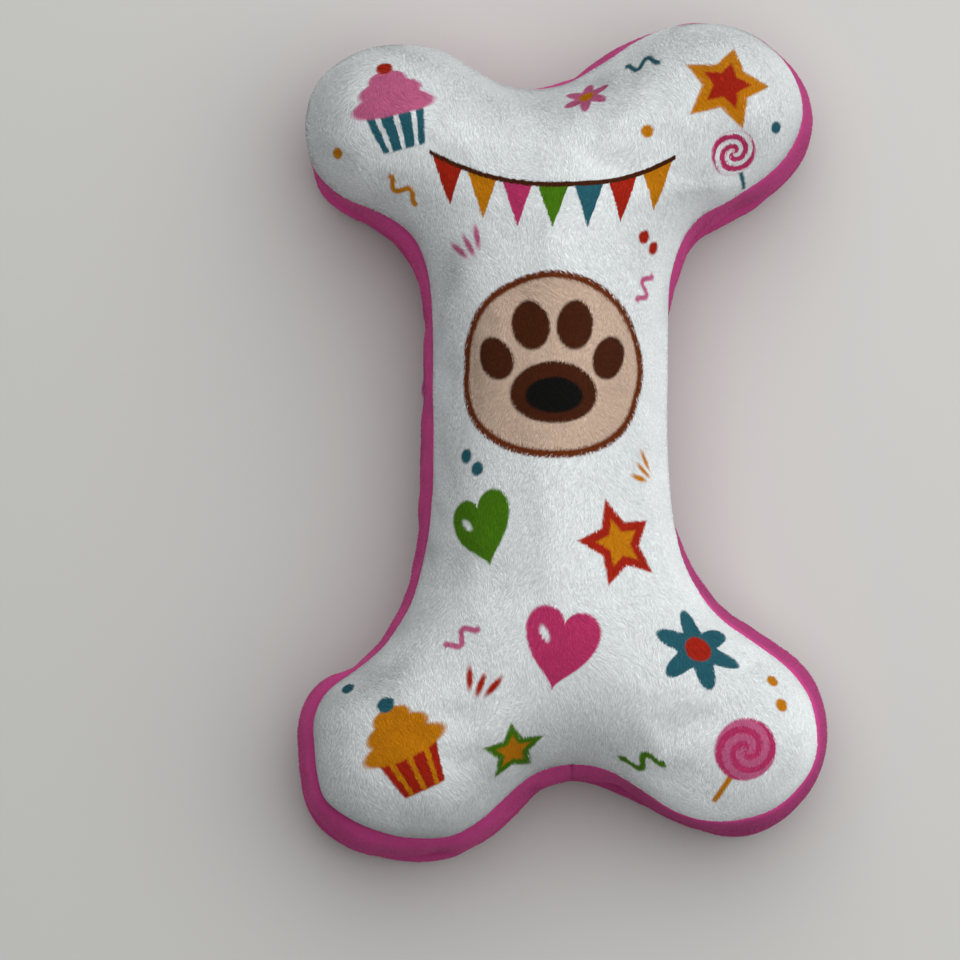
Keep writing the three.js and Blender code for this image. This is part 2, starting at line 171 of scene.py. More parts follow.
def makeCamera():
    tilt, azimuth, roll = [math.radians(view[name]) for name in ("tilt", "azimuth", "roll")]
    back = Vector((
        math.sin(tilt) * math.sin(azimuth), -math.sin(tilt) * math.cos(azimuth), math.cos(tilt)))
    camera = bpy.data.objects.new("camera", bpy.data.cameras.new("camera"))
    camera.data.lens = view["lens"]
    camera.data.sensor_width = view["sensor"]
    camera.data.clip_start = view["clipStart"]
    camera.rotation_mode = "QUATERNION"
    turn = Matrix.Rotation(-roll, 4, "Z").to_quaternion()
    camera.rotation_quaternion = (-back).to_track_quat("-Z", "Y") @ turn
    camera.location = Vector(view["aim"]) + back * view["distance"]
    bpy.context.scene.collection.objects.link(camera)
    bpy.context.scene.camera = camera


def directRays(tree):        # 1 where the camera looks, straight, in gloss or through something clear
    ray = add(tree, "ShaderNodeLightPath").outputs
    bent = calc("MAXIMUM", ray["Is Glossy Ray"], ray["Is Transmission Ray"])
    return calc("MAXIMUM", ray["Is Camera Ray"], bent)


def makeLight():
    lamp = bpy.data.lights.new("softbox", "AREA")
    lamp.shape = "DISK"
    lamp.size = light["keySize"]
    lamp.energy = light["keyWatts"]
    softbox = bpy.data.objects.new("softbox", lamp)
    toward = Vector(light["keyFrom"]).normalized()
    softbox.location = toward * light["keyDistance"]
    softbox.rotation_mode = "QUATERNION"
    softbox.rotation_quaternion = toward.to_track_quat("Z", "Y")
    bpy.context.scene.collection.objects.link(softbox)
    world = bpy.data.worlds.new("studio")
    world.use_nodes = True
    tree = world.node_tree
    glow = onto("ShaderNodeMapRange", {        # pale walls round a dim ceiling
        "Value": split(add(tree, "ShaderNodeTexCoord").outputs["Generated"])[2],
        "From Min": light["wallHeight"], "From Max": 0.0,
        "To Min": light["skyStrength"], "To Max": light["wallStrength"]})
    seen = onto("ShaderNodeMix", {0: directRays(tree), 2: glow, 3: light["backdrop"]})
    wire(tree.nodes["Background"], {"Color": linear(light["skyColour"]), "Strength": seen})
    bpy.context.scene.world = world


def makeFloor():
    half = paper["size"] / 2
    corners = [(-half, -half, 0), (half, -half, 0), (half, half, 0), (-half, half, 0)]
    mesh = bpy.data.meshes.new("floor")
    mesh.from_pydata(corners, [], [(0, 1, 2, 3)])
    floor = meshObject("floor", mesh)
    material, tree, shader = newMaterial("matte paper backdrop")
    wire(shader, {
        "Base Color": linear(paper["colour"]), "Roughness": paper["roughness"],
        "Specular IOR Level": paper["gloss"]})
    far = vector("LENGTH", add(tree, "ShaderNodeTexCoord").outputs["Object"])
    fade = onto("ShaderNodeMapRange", {        # far from the toy the paper runs out into the pale backdrop
        "Value": far, "From Min": paper["fadeFrom"], "From Max": paper["fadeTo"]},
        interpolation_type="SMOOTHSTEP")
    pale = add(tree, "ShaderNodeEmission", {
        "Color": linear(light["skyColour"]), "Strength": light["backdrop"]})
    share = calc("MULTIPLY", fade, directRays(tree))
    seen = onto("ShaderNodeMixShader", {0: share, 1: shader, 2: pale})
    wire(tree.nodes["Material Output"], {"Surface": seen})
    mesh.materials.append(material)


makeCamera()
makeLight()
makeFloor()
bpy.context.scene.view_settings.view_transform = "Standard"
print("camera, light and floor set")


# Party print, drawn by nodes on the flat cloth in millimetres

plushInks = dict(
    white="#E4E8E9", red="#A82411", amber="#C67F09", magenta="#BE386B", teal="#28616E", green="#4B7C0D",
    lightPink="#C4658D", darkBrown="#47200B", midBrown="#6B2F0D", peach="#CDB5A2", black="#0C0B0A")
inkBleed = 0.45        # mm that an ink runs at its edge


def place(p, at, size, turn=0):
    moved = vector("SUBTRACT", p, (*at, 0))
    turned = onto("ShaderNodeVectorRotate", {
        "Vector": moved, "Angle": math.radians(-turn)}, rotation_type="Z_AXIS")
    return vector("DIVIDE", turned, (*size, 1))


def below(value, limit, soft):        # 1 under the limit, 0 over it, with a bleed of ink between
    return onto("ShaderNodeMapRange", {
        "Value": value, "From Min": limit + soft, "From Max": limit - soft}, interpolation_type="SMOOTHSTEP")


def oval(p, soft, at=(0, 0), size=(1, 1), turn=0):
    far = vector("LENGTH", place(p, at, size, turn))
    return below(far, 1.0, soft / min(size))


def bar(p, soft, at=(0, 0), size=(1, 1), turn=0):
    sides = split(vector("ABSOLUTE", place(p, at, size, turn)))
    across, along = [below(sides[k], 1.0, soft / size[k]) for k in (0, 1)]
    return calc("MULTIPLY", across, along)


def polar(p):        # distance and angle, with angle 0 pointing up
    x, y, _ = split(p)
    return vector("LENGTH", p), calc("ARCTAN2", x, y)


def starPoints(p, soft, inner=0.52):
    far, angle = polar(p)
    half = math.pi / 5        # half of one of five points
    notch = inner * np.array([math.cos(half), math.sin(half)])
    slope = notch - np.array([1, 0])
    normal = np.array([slope[1], -slope[0]]) / np.linalg.norm(slope)
    away = calc("SUBTRACT", calc("PINGPONG", angle, half), math.atan2(normal[1], normal[0]))
    across = calc("MULTIPLY", calc("COSINE", away), far)
    return below(across, float(normal[0]), soft)


def star(p, inks, soft):
    inset = 0.55
    middle = place(p, (0, 0), (inset, inset))
    return [(inks[0], starPoints(p, soft)), (inks[1], starPoints(middle, soft / inset))]


def heart(p, inks, soft):
    dip = 0.72
    x, y, _ = split(p)
    root = calc("SQRT", calc("ABSOLUTE", x))
    bent = joined(x, calc("MULTIPLY_ADD", root, -dip, y))
    return [(inks[0], oval(bent, soft, (0, -0.1), (0.88, 0.8))),
            (inks[1], oval(p, soft, (-0.42, 0.42), (0.09, 0.2), 35))]


def flower(p, inks, soft):
    petals, swing, middle = 6.0, 0.24, 0.74
    far, angle = polar(p)
    wave = calc("COSINE", calc("MULTIPLY", angle, petals))
    over = calc("SUBTRACT", far, calc("MULTIPLY_ADD", wave, swing, middle))
    return [(inks[0], below(over, 0.0, soft)), (inks[1], oval(p, soft, (0, 0), (0.3, 0.3)))]


def lollipop(p, inks, soft):
    radius, coils, arms, thin = 0.65, 7.0, 2.0, 0.1
    sweet = place(p, (0, 0.35), (radius, radius))
    far, angle = polar(sweet)
    coil = calc("MULTIPLY_ADD", far, coils, angle)
    wave = calc("SINE", calc("MULTIPLY", coil, arms))
    disc = oval(sweet, soft / radius)
    swirl = calc("MULTIPLY", disc, calc("GREATER_THAN", wave, thin))
    return [(inks[2], bar(p, soft, (0, -0.62), (0.06, 0.4))), (inks[0], disc), (inks[1], swirl)]


def cupcake(p, inks, soft):
    flare, waist, pleats, thin = 0.28, 0.82, 13.0, 0.55
    x, y, _ = split(p)
    straight = calc("DIVIDE", x, calc("MULTIPLY_ADD", y, flare, waist))
    cup = bar(joined(straight, y), soft, (0, -0.58), (0.78, 0.42))
    wave = calc("COSINE", calc("MULTIPLY", straight, pleats))
    folds = calc("MULTIPLY", cup, calc("GREATER_THAN", wave, thin))
    icing = [((0, -0.06), (0.86, 0.26)), ((0, 0.24), (0.64, 0.26)), ((0, 0.5), (0.38, 0.24))]
    cherry = oval(p, soft, (0, 0.82), (0.17, 0.17))
    return [(inks[0], cup), (inks[3], folds), *[(inks[1], oval(p, soft, *ring)) for ring in icing],
            (inks[2], cherry)]


def bunting(p, inks, soft):        # pennants in five colours on a sagging string, one unit wide each
    half, sag, drop, wide, string = 3.5, 1.0, 1.25, 0.43, 0.07
    x, y, _ = split(p)
    line = calc("MULTIPLY_ADD", calc("MULTIPLY", x, x), sag / half ** 2, -sag)
    under = calc("SUBTRACT", line, y)
    inside = calc("LESS_THAN", calc("ABSOLUTE", x), half)
    cell = calc("ADD", x, half)
    away = calc("ABSOLUTE", calc("SUBTRACT", calc("FRACT", cell), 0.5))
    room = calc("MULTIPLY_ADD", under, -wide / drop, wide)
    hung = calc("GREATER_THAN", under, 0.0)
    flag = calc("MULTIPLY", calc("LESS_THAN", away, room), hung)
    flag = calc("MULTIPLY", flag, inside)
    turn = calc("MODULO", calc("FLOOR", cell), float(len(inks) - 1))
    layers = []
    for k, ink in enumerate(inks[:-1]):
        mine = calc("COMPARE", turn, float(k), 0.1)
        layers.append((ink, calc("MULTIPLY", mine, flag)))
    thin = calc("COMPARE", under, 0.0, string)
    return [*layers, (inks[-1], calc("MULTIPLY", thin, inside))]


def pawBiscuit(p, inks, soft):        # a big paw print on a round biscuit
    p = place(p, (0, 0), (1.1, 0.96))        # drawn wide, because the shaft is round
    pads = [((0, -0.3), (0.42, 0.33), 0), ((-0.56, 0.1), (0.17, 0.25), 25), ((-0.21, 0.42), (0.18, 0.27), 8),
            ((0.21, 0.42), (0.18, 0.27), -8), ((0.56, 0.1), (0.17, 0.25), -25)]
    return [(inks[1], oval(p, soft)), (inks[0], oval(p, soft, (0, 0), (0.92, 0.92))),
            *[(inks[2], oval(p, soft, *pad)) for pad in pads],
            (inks[3], oval(p, soft, (0, -0.33), (0.27, 0.19)))]


def squiggle(p, inks, soft):        # a waved streamer, as wide on its slopes as at its turns
    height, turns = 0.34, 4.7
    x, y, _ = split(p)
    angle = calc("MULTIPLY", x, turns)
    slope = calc("MULTIPLY", calc("COSINE", angle), height * turns)
    steep = vector("LENGTH", joined(slope, 1.0))
    off = calc("MULTIPLY_ADD", calc("SINE", angle), -height, y)
    ribbon = joined(x, calc("DIVIDE", off, steep))
    return [(inks[0], bar(ribbon, soft, (0, 0), (1.1, 0.17)))]


def dot(p, inks, soft):
    return [(inks[0], oval(p, soft))]


def dashes(p, inks, soft):
    return [(inks[0], oval(p, soft, (x, 0.2 * abs(x)), (0.2, 0.75), -28 * x)) for x in (-0.8, 0, 0.8)]


motifs = [
    (pawBiscuit, (-2, 14), 28, 0, "peach midBrown darkBrown black"),
    (bunting, (-1, 76), 10.2, -2, "red amber magenta green teal darkBrown"),
    (cupcake, (-47, 93), 15, 12, "teal lightPink red white"),
    (star, (49, 96), 14, -14, "amber red"),
    (flower, (8, 97), 7, 0, "lightPink amber"),
    (lollipop, (54, 72), 11, 24, "magenta white teal"),
    (heart, (-24, -33), 11, 14, "green white"),
    (star, (17, -36), 13, 18, "red amber"),
    (cupcake, (-46, -92), 15, 24, "red amber teal amber"),
    (heart, (-2, -68), 12, -12, "magenta white"),
    (flower, (38, -66), 13, 10, "teal red"),
    (lollipop, (48, -100), 14, -30, "lightPink magenta amber"),
    (star, (-14, -96), 9, 8, "green amber"),
    (squiggle, (20, -100), 6, 20, "green"),
    (squiggle, (-46, 66), 5, -40, "amber"),
    (squiggle, (24, 106), 5, 8, "teal"),
    (squiggle, (-30, -62), 5, 40, "lightPink"),
    (squiggle, (29, 38), 4.5, 70, "lightPink"),
    (dashes, (-27, 50), 4.4, 30, "lightPink"),
    (dashes, (-24, -76), 4.6, -20, "red"),
    (dashes, (28, -14), 4, 60, "amber"),
    (dot, (27, 52), 1.9, 0, "red"),
    (dot, (31, 49), 1.8, 0, "red"),
    (dot, (26, 82), 1.8, 0, "amber"),
    (dot, (-30, -10), 2.1, 0, "teal"),
    (dot, (-26, -14), 2.0, 0, "teal"),
    (dot, (62, -82), 2.1, 0, "amber"),
    (dot, (60, -74), 1.9, 0, "amber"),
    (dot, (-64, -72), 2.2, 0, "teal"),
    (dot, (6, -112), 2.0, 0, "magenta"),
    (dot, (-66, 78), 2.0, 0, "amber"),
    (dot, (66, 84), 2.0, 0, "teal"),
]


def makePrint():
    tree, given, result = newTree(
        "party print", [("Flat", "Vector", None)], [("Ink", "Color")], "ShaderNodeTree")
    colour = linear(plushInks["white"])
    for motif, at, size, turn, inkNames in motifs:
        local = place(given["Flat"], at, (size, size), turn)
        for ink, mask in motif(local, inkNames.split(), inkBleed / size):
            colour = mixed(mask, colour, linear(plushInks[ink]))
    wire(result, {0: colour})
    return tree


partyPrint = makePrint()
print("print drawn:", len(motifs), "motifs in", len(partyPrint.nodes), "nodes")


# Materials

plushGloss = 0.08
whitePlush = dict(tones=(0.78, 1.1), roughness=0.9, sheen=0.04, sheenRoughness=0.5)
pinkPlush = dict(
    bright="#DC549A", deep="#C34286", nap=14 * mm, tones=(0.8, 1.14), roughness=0.85, sheen=0.06,
    sheenRoughness=0.4)
thread = dict(
    colour="#B65A90", twist=2.1 * mm, tones=(0.75, 1.1), ridge=0.1 * mm, ridgeStrength=0.6, roughness=0.7)
looseFibre = dict(
    deep="#D9D9D4", bright="#FAFAF7", strand=1.5 * mm, tangle=2.5, crimp=0.6 * mm, crimpStrength=0.8,
    roughness=0.95, sheen=0.3)
plastic = dict(tones=(0.95, 1.02), glossRange=(0.8, 1.25), ripple=0.05 * mm, rippleStrength=0.3, index=1.53)


def objectPlace(tree):
    return add(tree, "ShaderNodeTexCoord").outputs["Object"]


def ranged(value, limits):
    return onto("ShaderNodeMapRange", {"Value": value, "To Min": limits[0], "To Max": limits[1]})


def toned(level, colour):
    return onto("ShaderNodeHueSaturation", {"Value": level, "Color": colour})


def raised(height, distance, strength):
    return onto("ShaderNodeBump", {"Height": height, "Distance": distance, "Strength": strength})


def dressPlush(shader, colour, plush, toneAttribute):        # each tuft has its own tone, times painted shade and light from the cloth
    # the second attribute read here is painted shade and light near the seams and round the band
    tone, nap = [
        add(shader.id_data, "ShaderNodeAttribute", attribute_name=name).outputs["Fac"]
        for name in (toneAttribute, "painted_shading")]
    level = calc("MULTIPLY", ranged(tone, plush["tones"]), nap)
    wire(shader, {
        "Base Color": toned(level, colour), "Roughness": plush["roughness"],
        "Specular IOR Level": plushGloss, "Sheen Weight": plush["sheen"],
        "Sheen Roughness": plush["sheenRoughness"]})


# Printed short-pile polyester plush: soft and matte, with a faint sheen at the rim
def makePrintedPlush(name, toneAttribute):
    material, tree, shader = newMaterial(name)
    printed = add(tree, "ShaderNodeGroup", node_tree=partyPrint)
    wire(printed, {"Flat": add(tree, "ShaderNodeAttribute", attribute_name="flat").outputs["Vector"]})
    dressPlush(shader, printed, whitePlush, toneAttribute)
    return material


# Dyed short-pile plush: the nap lies in patches that look lighter or deeper as it is brushed
def makePinkPlush(name, toneAttribute):
    material, tree, shader = newMaterial(name)
    patches = onto("ShaderNodeTexNoise", {
        "Vector": objectPlace(tree), "Scale": 1 / pinkPlush["nap"], "Detail": 3.0})
    dye = mixed(patches, linear(pinkPlush["deep"]), linear(pinkPlush["bright"]))
    dressPlush(shader, dye, pinkPlush, toneAttribute)
    return material


# Spun polyester thread: two plies twisted, which show as slanting ridges
def makeThread():
    material, tree, shader = newMaterial("spun polyester thread")
    plies = onto("ShaderNodeTexWave", {
        "Vector": objectPlace(tree), "Scale": 1 / thread["twist"], "Distortion": 1.0},
        bands_direction="DIAGONAL")
    wire(shader, {
        "Base Color": toned(ranged(plies, thread["tones"]), linear(thread["colour"])),
        "Normal": raised(plies, thread["ridge"], thread["ridgeStrength"]),
        "Roughness": thread["roughness"]})
    return material


# Loose hollow polyester fibre: crimped strands in soft matted lumps
def makeFibre():
    material, tree, shader = newMaterial("loose hollow polyester fibre")
    strands = onto("ShaderNodeTexNoise", {
        "Vector": objectPlace(tree), "Scale": 1 / looseFibre["strand"], "Detail": 6.0,
        "Distortion": looseFibre["tangle"]})
    wire(shader, {
        "Base Color": mixed(strands, linear(looseFibre["deep"]), linear(looseFibre["bright"])),
        "Normal": raised(strands, looseFibre["crimp"], looseFibre["crimpStrength"]),
        "Roughness": looseFibre["roughness"], "Sheen Weight": looseFibre["sheen"]})
    return material


# Moulded plastics: waxy blown polyethylene, bright polystyrene and stiff film
def makePlastic(name, hexColour, roughness, grain):
    material, tree, shader = newMaterial(name)
    haze = onto("ShaderNodeTexNoise", {"Vector": objectPlace(tree), "Scale": 1 / grain, "Detail": 4.0})
    wire(shader, {
        "Base Color": toned(ranged(haze, plastic["tones"]), linear(hexColour)),
        "Roughness": ranged(haze, [roughness * share for share in plastic["glossRange"]]),
        "Normal": raised(haze, plastic["ripple"], plastic["rippleStrength"]), "IOR": plastic["index"]})
    return material


printedPile = makePrintedPlush("printed polyester plush pile", "tone")
printedBacking = makePrintedPlush("printed polyester plush backing", "ground")
pinkPile = makePinkPlush("dyed polyester plush pile", "tone")
pinkBacking = makePinkPlush("dyed polyester plush backing", "ground")
sewingThread = makeThread()
fibre = makeFibre()
blownPlastic = makePlastic("blown polyethylene", "#EDEDE5", 0.42, 3 * mm)
whistlePlastic = makePlastic("moulded polystyrene", "#F4F4F0", 0.28, 1.2 * mm)
reedPlastic = makePlastic("stiff polyester film", "#DCE4E9", 0.18, 2 * mm)
print("materials made")


# Outline, read from the sewn edge of the front panel

cover = dict(
    across=56, along=88, bandRings=9, outlineSteps=12, crownReach=26 * mm, fullness=2.3, swell=3 * mm,
    slackCrown=0.847, bandBulge=2.0 * mm, bandPucker=0.8 * mm, puckerStep=16 * mm, puckerShift=0.3,
    ripple=0.5, rippleSize=9 * mm, rippleSeed=12, seamWander=0.35 * mm, wanderSize=11 * mm, wanderSeed=3,
    joinCrease=0.1 * mm, backSeamOut=2.0 * mm, lipOut=(3.0 * mm, 3.4 * mm, 2.6 * mm),
    lipDrop=(1.6 * mm, 3.8 * mm, 6.4 * mm), lipPucker=1.1 * mm, flatReach=20 * mm, flatSteps=400,
    # paintedShadingReach: how far in from the front seam the painted shade and light reach
    cloth=1.4 * mm, trimReach=6 * mm, trimLeast=0.4, paintedShadingReach=22 * mm, groundTone=0.3, frames=24,
    mostMove=6 * mm, restBand=0.6 * mm, sheet=300 * mm, sheetRoom=1.3, sheetMargin=0.01, seed=4)
stuffing = dict(
    quality=6, mass=0.2, tension_stiffness=20, compression_stiffness=20, shear_stiffness=8,
    bending_stiffness=0.4, use_pressure=True, uniform_pressure_force=3.0, shrink_min=-0.012)
# hundredths of the way round from the lower left lobe, each with a tone or with mm
around = dict(
    # first table: painted shade and light on the white front near its seam, darker on the left and top, paler
    # at the lower right
    paintedRimShading=[
        (0, 0.74), (5, 0.74), (9, 0.68), (12, 0.86), (14, 1.1), (19, 1.1), (24, 1.02), (35, 0.95), (44, 0.9),
        (50, 0.86), (55, 0.8), (60, 0.82), (65, 0.8), (70, 0.74), (85, 0.76), (95, 0.74)],
    # second table: painted shade and light on the pink band and back rim, darker on the right, lighter at the
    # upper left
    paintedBandShading=[
        (0, 1.0), (3.5, 0.84), (5.5, 0.76), (8, 0.86), (13, 0.76), (17, 0.74), (22, 0.7), (26, 0.62),
        (29, 0.68), (33, 0.72), (43, 0.86), (46, 0.74), (52, 0.76), (60, 0.9), (66, 1.0), (72, 1.14),
        (77, 1.1), (82, 0.98), (90, 0.96)],
    stand=[
        (0, 0.3), (2, 1.3), (4, -1.0), (8, -0.6), (14.5, -3.2), (16.7, -0.5), (19, -1.6), (23, 1.4),
        (25, 0.2), (28, 0.9), (31, -3.0), (38, -3.0), (41, -0.6), (44, -2.3), (46, -1.3), (48, 0.6),
        (50, 0.7), (52, -1.0), (56, -1.4), (58, 2.2), (60, -1.0), (62, -1.5), (67, -1.0), (71, -2.8),
        (75, -3.2), (77, -0.4), (81, -0.7), (84, 0.2), (87.5, 0.5), (90, -0.6), (94, -2.2), (96, 1.7)],
    drawnIn=[
        (0, 1.5), (6, 1.2), (8.5, 0), (10.5, 1.4), (12.5, 0), (22, 0.4), (28, 0.3), (31, -0.6), (37, -1.6),
        (40.5, -0.3), (46, 0), (52, -0.6), (54.5, 0), (58.5, -1.0), (60.5, 0), (62.5, -2.2), (65, -0.2),
        (67, -0.8), (71, -1.9), (73.5, -1.4), (76, 0.3), (89, 0.3), (95, 0.5), (98, 0.6)])


def sewnEdge(node, height):
    bm = bmesh.new()
    bm.from_mesh(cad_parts[node].data)
    bmesh.ops.remove_doubles(bm, verts=bm.verts, dist=touching)
    rim = {f for f in bm.faces if all(abs(v.co.z - height) < sameHeight for v in f.verts)}
    edges = [e for e in bm.edges if sum(f in rim for f in e.link_faces) == 1]
    beside = {}
    for edge in edges:
        a, b = edge.verts
        beside.setdefault(a, []).append(b)
        beside.setdefault(b, []).append(a)
    loops = []
    waiting = dict.fromkeys(beside)
    while waiting:
        loop = [next(iter(waiting))]
        while loop:
            waiting.pop(loop[-1], None)
            onward = [v for v in beside[loop[-1]] if v in waiting]
            if not onward:
                break
            loop.append(onward[0])
        loops.append(np.array([v.co[:2] for v in loop]))
    bm.free()
    widest = max(loops, key=lambda p: np.abs(np.roll(p, 1, 0) - p).sum())
    after = np.roll(widest, -1, 0)
    area = (widest[:, 0] * after[:, 1] - widest[:, 1] * after[:, 0]).sum()
    return widest if area > 0 else widest[::-1]        # anticlockwise from above


def smoothed(loop, steps):        # a closed curve through the points
    t = np.arange(steps)[None, :, None] / steps
    a, b, c, d = [np.roll(loop, k, 0)[:, None] for k in (1, 0, -1, -2)]
    curve = b + t * (c - a + t * (2 * a - 5 * b + 4 * c - d + t * (3 * (b - c) + d - a))) / 2
    return curve.reshape(-1, 2)


def lengthsAlong(points):
    return np.concatenate([[0], np.cumsum(np.linalg.norm(np.diff(points, axis=0), axis=1))])


def evenly(points, steps):        # an open run cut into equal lengths
    lengths = lengthsAlong(points)
    at = np.linspace(0, lengths[-1], steps + 1)
    return np.stack([np.interp(at, lengths, points[:, k]) for k in (0, 1)], axis=1)


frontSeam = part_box("front_panel")[0].z
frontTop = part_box("front_panel")[1].z
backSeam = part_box("back_panel")[1].z
slackRise = (frontTop - frontSeam) * cover["slackCrown"]        # the front before the stuffing swells it
halfWidth, halfLength = [max(abs(v) for v in pair) for pair in zip(*[c[:2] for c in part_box("front_panel")])]
outline = smoothed(sewnEdge("front_panel", frontSeam), cover["outlineSteps"])


def panelGrid():        # a grid over the outline, with its corners on the four lobes
    def cornerAt(sx, sy):
        return int(np.argmax(sx * outline[:, 0] / halfWidth + sy * outline[:, 1] / halfLength))

    def run(start, stop, steps):
        count = (stop - start) % len(outline)
        return evenly(outline[(start + np.arange(count + 1)) % len(outline)], steps)

    lowerLeft, lowerRight = cornerAt(-1, -1), cornerAt(1, -1)
    upperRight, upperLeft = cornerAt(1, 1), cornerAt(-1, 1)
    bottom = run(lowerLeft, lowerRight, cover["across"])
    right = run(lowerRight, upperRight, cover["along"])
    top = run(upperRight, upperLeft, cover["across"])[::-1]
    left = run(upperLeft, lowerLeft, cover["along"])[::-1]
    u = np.linspace(0, 1, cover["across"] + 1)[None, :, None]
    v = np.linspace(0, 1, cover["along"] + 1)[:, None, None]
    sides = bottom[None] * (1 - v) + top[None] * v + left[:, None] * (1 - u) + right[:, None] * u
    corners = (bottom[0] * (1 - u) + bottom[-1] * u) * (1 - v) + (top[0] * (1 - u) + top[-1] * u) * v
    return sides - corners


def nearestOnOutline(points):        # distance to the outline, and the way out to it
    a, b = outline, np.roll(outline, -1, 0)
    ab = b - a
    distance = np.zeros(len(points))
    out = np.zeros((len(points), 2))
    for k, p in enumerate(points):
        t = np.clip(((p - a) * ab).sum(1) / (ab * ab).sum(1), 0, 1)
        away = a + ab * t[:, None] - p
        nearest = int(np.argmin((away * away).sum(1)))
        distance[k] = np.linalg.norm(away[nearest])
        out[k] = away[nearest] / max(distance[k], tiny)
    return distance, out


def roundedRise(share):        # between a quarter ellipse and a flatter, pillow-like curve
    left = 1 - np.minimum(1, share)
    return (np.sqrt(1 - left ** 2) + 1 - left ** cover["fullness"]) / 2


def wander(points, size, seed):        # a slow, steady wobble along a line of points
    return np.array([noise.noise(Vector((*(p / size), seed))) for p in points])


def puckered(points, seed):        # short stretches with corners, as stuffed cloth pulls between stitches
    draw = np.random.default_rng(cover["seed"] + seed)
    along = lengthsAlong(points)
    count = int(along[-1] / cover["puckerStep"])
    shift = draw.uniform(-cover["puckerShift"], cover["puckerShift"], count)
    knots = (np.arange(count) + shift) / count * along[-1]
    return np.interp(along, knots, draw.uniform(-1, 1, count), period=along[-1])


grid = panelGrid()
rows, columns = grid.shape[:2]
plan = grid.reshape(-1, 2)
edge = [
    *range(columns - 1),
    *[j * columns + columns - 1 for j in range(rows - 1)],
    *[(rows - 1) * columns + i for i in range(columns - 1, 0, -1)],
    *[j * columns for j in range(rows - 1, 0, -1)],
]
stations = plan[edge]
stationOut = np.roll(stations, -1, 0) - np.roll(stations, 1, 0)
stationOut = np.stack([stationOut[:, 1], -stationOut[:, 0]], 1)
stationOut /= np.linalg.norm(stationOut, axis=1)[:, None]
lowerNotch = int(np.argmax(stations[:columns - 1, 1]))
upperNotch = columns + rows - 2 + int(np.argmin(stations[columns + rows - 2:2 * columns + rows - 3, 1]))
rimDistance, rimOut = nearestOnOutline(plan)
rimOut[edge] = stationOut


# Stuffed cover: one closed bag of four cloths that share their seams

def roundTheToy(name, ease=13, tails=1.5):        # one value for each station, eased over a few of them
    at = np.arange(len(stations)) / len(stations) * 100
    rough = np.interp(at, *zip(*around[name]), period=100)
    soft = np.exp(-np.linspace(-tails, tails, ease) ** 2)
    return np.convolve(np.tile(rough, 3), soft / soft.sum(), "same")[len(rough):2 * len(rough)]


def bagShape():
    swell = cover["swell"] * (1 - (plan[:, 0] / halfWidth) ** 2) * (1 - (plan[:, 1] / halfLength) ** 2)
    crown = slackRise - cover["swell"]
    frontPlan = plan.copy()
    seamShift = wander(stations, cover["wanderSize"], cover["wanderSeed"]) * cover["seamWander"]
    seamShift -= roundTheToy("drawnIn") * mm
    frontPlan[edge] += stationOut * seamShift[:, None]
    stand = roundTheToy("stand", ease=5) * mm        # with corners, as the stiff lip has
    front = np.column_stack([
        frontPlan, frontSeam + (crown + swell) * roundedRise(rimDistance / cover["crownReach"])])
    rings = []
    for k in range(1, cover["bandRings"] + 1):        # down the band, to the back seam
        share = k / cover["bandRings"]
        bulge = 1 - (2 * share - 1) ** 2
        ripple = wander(stations, cover["rippleSize"], cover["rippleSeed"] + share)
        loose = puckered(stations, 0) + cover["ripple"] * ripple
        reach = cover["backSeamOut"] * share + bulge * (cover["bandBulge"] + loose * cover["bandPucker"])
        for notch in (lowerNotch, upperNotch):
            reach[notch] -= cover["joinCrease"] * bulge
        rings.append((reach + stand * (1 - (1 - share) ** 2), frontSeam + (backSeam - frontSeam) * share))
    for out, drop in zip(cover["lipOut"][:-1], cover["lipDrop"]):        # the back panel's lip
        rings.append((stand + out + puckered(stations, 1) * cover["lipPucker"], backSeam - drop))
    rings = [np.column_stack([stations + stationOut * reach[:, None], np.full(len(stations), height)])
             for reach, height in rings]
    spread = (cover["lipOut"][-1] + stand[nearestStation]) * np.exp(-rimDistance / cover["trimReach"])
    height = (backSeam - cover["lipDrop"][-1]) * (1 - roundedRise(rimDistance / cover["flatReach"]))
    back = np.column_stack([plan + rimOut * spread[:, None], height])
    return front, back, rings


def bagLoop(k):        # vertex numbers round the bag: 0 is the front seam, bandRings the back seam
    start = 2 * rows * columns + (k - 1) * len(edge)
    return list(range(start, start + len(edge))) if k else edge


def bagFaces():
    count = rows * columns
    faces = dict(front=[], back=[], left=[], right=[])
    for j in range(rows - 1):
        for i in range(columns - 1):
            a = j * columns + i
            quad = (a, a + 1, a + 1 + columns, a + columns)
            faces["front"].append(quad)
            faces["back"].append(tuple(count + n for n in reversed(quad)))
    loops = [bagLoop(k) for k in range(len(rings) + 1)]
    loops.append([count + n for n in edge])
    for k, (upper, lower) in enumerate(zip(loops, loops[1:])):
        for n in range(len(edge)):
            m = (n + 1) % len(edge)
            side = "right" if lowerNotch <= n < upperNotch else "left"
            faces[side if k < cover["bandRings"] else "back"].append((upper[n], lower[n], lower[m], upper[m]))
    return faces


